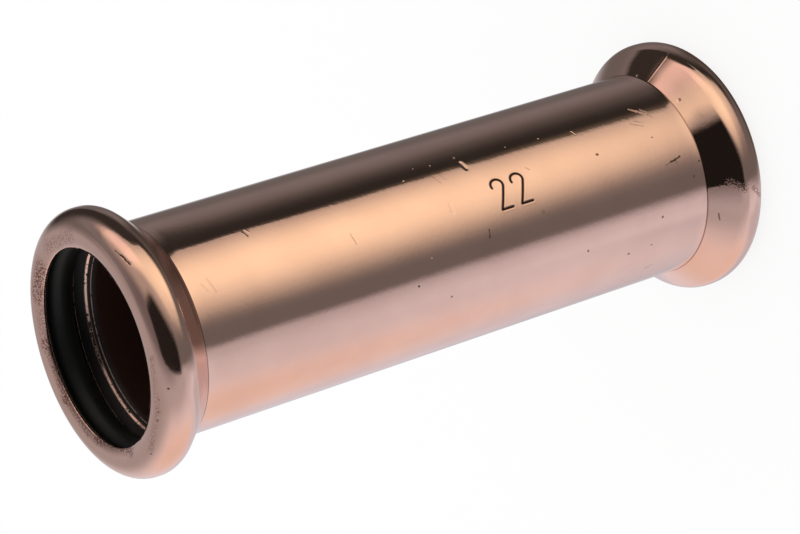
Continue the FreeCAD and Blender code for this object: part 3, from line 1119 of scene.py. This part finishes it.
def mix_shader(tree, mask, first, second):
    """Shader that goes from first to second as mask goes from 0 to 1."""
    return put(tree, "ShaderNodeMixShader", {0: mask, 1: first, 2: second}).outputs[0]


ray = put(tree, "ShaderNodeLightPath").outputs
reflected, even, white = (
    put(tree, "ShaderNodeBackground", {"Color": light, "Strength": strength}).outputs[0]
    for light, strength in ((seen, 1.0), (WHITE, SOFT_LIGHT), (WHITE, 1.0)))
mirrored = mix_shader(tree, ray["Is Glossy Ray"], even, reflected)
all_rays = mix_shader(tree, ray["Is Camera Ray"], mirrored, white)
put(tree, "ShaderNodeOutputWorld", {"Surface": all_rays})
print(f"world: {len(tree.nodes)} nodes")

# %% [markdown]
# Four cards stand so near that the two beads see them in different directions, as their
# reflections in the photograph show: the bright middle of the softbox, a dark screen behind on the
# right, the dark side on which the camera stands, and the shaded foot of the wall. They are real
# planes, clear outside their edges, and only reflections see them.

# %% Planes for cards and floor


def square_plane(name, half):
    """A square of this half width, flat about its own origin and linked to the scene."""
    corners = [(x * half, y * half, 0) for x, y in ((-1, -1), (1, -1), (1, 1), (-1, 1))]
    mesh = bpy.data.meshes.new(name)
    mesh.from_pydata(corners, [], [(0, 1, 2, 3)])
    plane = bpy.data.objects.new(name, mesh)
    bpy.context.scene.collection.objects.link(plane)
    return plane


def glowing(tree, colour):
    """Shader that shines in this colour at plain strength."""
    return put(tree, "ShaderNodeEmission", {"Color": colour, "Strength": 1.0}).outputs[0]


def mixed_material(name, surface):
    """Material whose surface goes from one shader to another. The function given as surface gets
    the node tree and returns (mask, first shader, second shader)."""
    material = bpy.data.materials.new(name)
    material.use_nodes = True
    tree = material.node_tree
    tree.nodes.clear()
    put(tree, "ShaderNodeOutputMaterial", {"Surface": mix_shader(tree, *surface(tree))})
    return material


# %% Cards near the coupling
NEAR_CARD_HALF = 1.2
NEAR_CARDS = [
    # name, azimuth, distance, a place on the card, colour, edges as (place, place, softness),
    # where a place is in millimetres: to the right, seen from the coupling, and up
    ("softbox middle", -55, 126, (0, 0), (1.9, 1.66, 1.17, 1), [
        ((-18, -200), (-47, 200), 77), ((341, -200), (-118, 200), 18),
        ((-100, -104), (100, -33), 72), ((-100, 237), (100, -157), 109)]),
    ("screen", 55.6, 144, (200, 30), (0.035, 0.033, 0.03, 1), [
        ((25, 108), (250, 72), 34), ((300, 60), (408, -12), 25), ((100, -5), (408, -140), 10),
        ((-26, 0), (-26, 100), 20), ((470, -200), (470, 0), 15)]),
    ("camera side", -90, 300, (50, 200), (0.012, 0.011, 0.01, 1), [
        ((234, 0), (234, 300), 8), ((-200, 5), (200, 5), 45), ((60, 15), (-140, 205), 60),
        ((-173, 0), (-173, 300), 45), ((-200, 900), (200, 900), 200)]),
    ("wall foot", 150, 165, (0, -300), (0.56, 0.565, 0.62, 1), [
        ((-100, -139), (100, -92), 33), ((-220, -300), (-220, 0), 60),
        ((150, -300), (150, 0), 60), ((-200, -400), (200, -400), 100)]),
]
HIDDEN_FROM = ("camera", "diffuse", "transmission", "shadow", "volume_scatter")


def beyond_line(tree, place, on_card, start, end, softness):
    """Mask of the places on the card's side of the line through two places."""
    along = Vector((*end, 0)) - Vector((*start, 0))
    square = Vector((along.y, -along.x, 0)).normalized()
    if square.dot(Vector((*on_card, 0)) - Vector((*start, 0))) < 0:
        square.negate()
    edge = square.dot(Vector((*start, 0)))
    distance = vector_maths(tree, "DOT_PRODUCT", place, tuple(square)).outputs["Value"]
    return smooth_range(tree, distance, edge + softness, edge - softness)


def near_card(name, azimuth, distance, on_card, colour, edges):
    """Glowing plane that faces the axis, clear outside its edges and seen by reflections only."""

    def surface(tree):
        """Nothing outside the card's edges, and its colour within them."""
        place = scaled(tree, put(tree, "ShaderNodeTexCoord").outputs["Object"], 1 / MM)
        mask = product(tree, *[beyond_line(tree, place, on_card, *edge) for edge in edges])
        clear = put(tree, "ShaderNodeBsdfTransparent").outputs[0]
        return mask, clear, glowing(tree, colour)

    card = square_plane(name, NEAR_CARD_HALF)
    outwards, up = direction(azimuth, 0), Vector((0, 0, 1))
    facing = Matrix((outwards.cross(up), up, -outwards)).transposed().to_4x4()
    card.matrix_world = Matrix.Translation(outwards * distance * MM) @ facing
    for kind in HIDDEN_FROM:
        setattr(card, "visible_" + kind, False)
    card.data.materials.append(mixed_material(name, surface))
    return card


print("near cards:", [near_card(*row).name for row in NEAR_CARDS])

# %% [markdown]
# ## The floor
#
# The coupling stands on a sheet of white paper that runs out of the picture. Paper alone would
# render grey where the light is soft, so most of what the camera sees of it glows white, and the
# rest is matt and keeps the coupling's shadow. Within the tube, where little light would reach it,
# the paper does not glow.

# %% White floor
FLOOR_HALF = 2.0
FLOOR_GLOW = 0.85
PAPER_COLOUR = (0.985, 0.985, 0.985, 1)
GLOW_START = (BORE_RADIUS + 1.5, BORE_RADIUS + 0.5)


def paper_surface(tree):
    """Matt paper, which glows for the camera's rays outside the tube."""
    to_camera = put(tree, "ShaderNodeLightPath").outputs["Is Camera Ray"]
    paper = put(tree, "ShaderNodeBsdfDiffuse", {"Color": PAPER_COLOUR}).outputs[0]
    floor_place = put(tree, "ShaderNodeTexCoord").outputs["Object"]
    from_axis = vector_maths(tree, "LENGTH", floor_place).outputs["Value"]
    outside_tube = smooth_range(tree, from_axis, GLOW_START[0] * MM, GLOW_START[1] * MM)
    return product(tree, to_camera, FLOOR_GLOW, outside_tube), paper, glowing(tree, WHITE)


floor = square_plane("floor", FLOOR_HALF)
floor.visible_glossy = False
floor.data.materials.append(mixed_material("white_floor", paper_surface))
print("floor:", floor.data.materials[0].name)

# %% [markdown]
# ## View settings
#
# The standard view transform shows colours as they are written.

# %% View settings
bpy.context.scene.view_settings.view_transform = "Standard"
